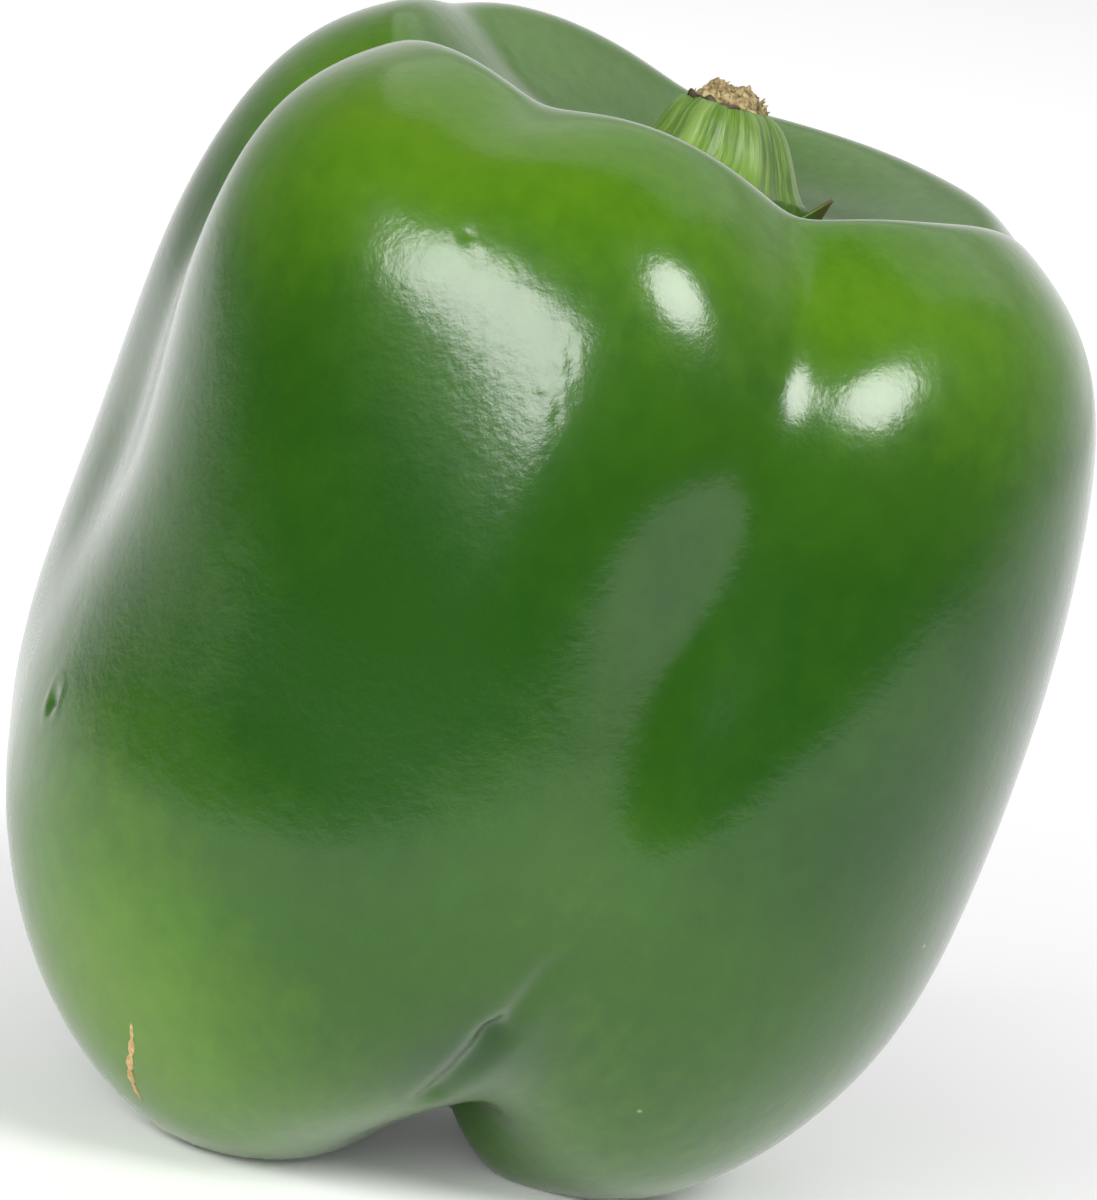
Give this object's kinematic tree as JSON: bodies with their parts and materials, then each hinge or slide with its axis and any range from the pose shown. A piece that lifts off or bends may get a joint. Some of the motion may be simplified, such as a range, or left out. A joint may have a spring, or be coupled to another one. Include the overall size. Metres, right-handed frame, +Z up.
{
  "type": "bell pepper",
  "caption": "Whole green bell pepper with blunt lobes, rounded shoulders round a sunken crown and a short cut stem, standing on its lobes.",
  "frame": {"origin": "middle of the bounding box at the level of the surface the pepper stands on", "axes": "+Z up; -Y is the front, where the valley between the two near lobes shows; +X to the right, the way the crown leans"},
  "size_m": [0.0874, 0.0886, 0.0953],
  "materials": {
    "pepper_skin": "waxy glossy green skin with paler streaks and fine speckles",
    "pepper_stem": "satin ribbed yellow-green stem with a dry tan cut end"
  },
  "bodies": {
    "root": {"fruit_body": "pepper_skin", "stem_and_calyx": "pepper_stem"}
  },
  "joints": []
}
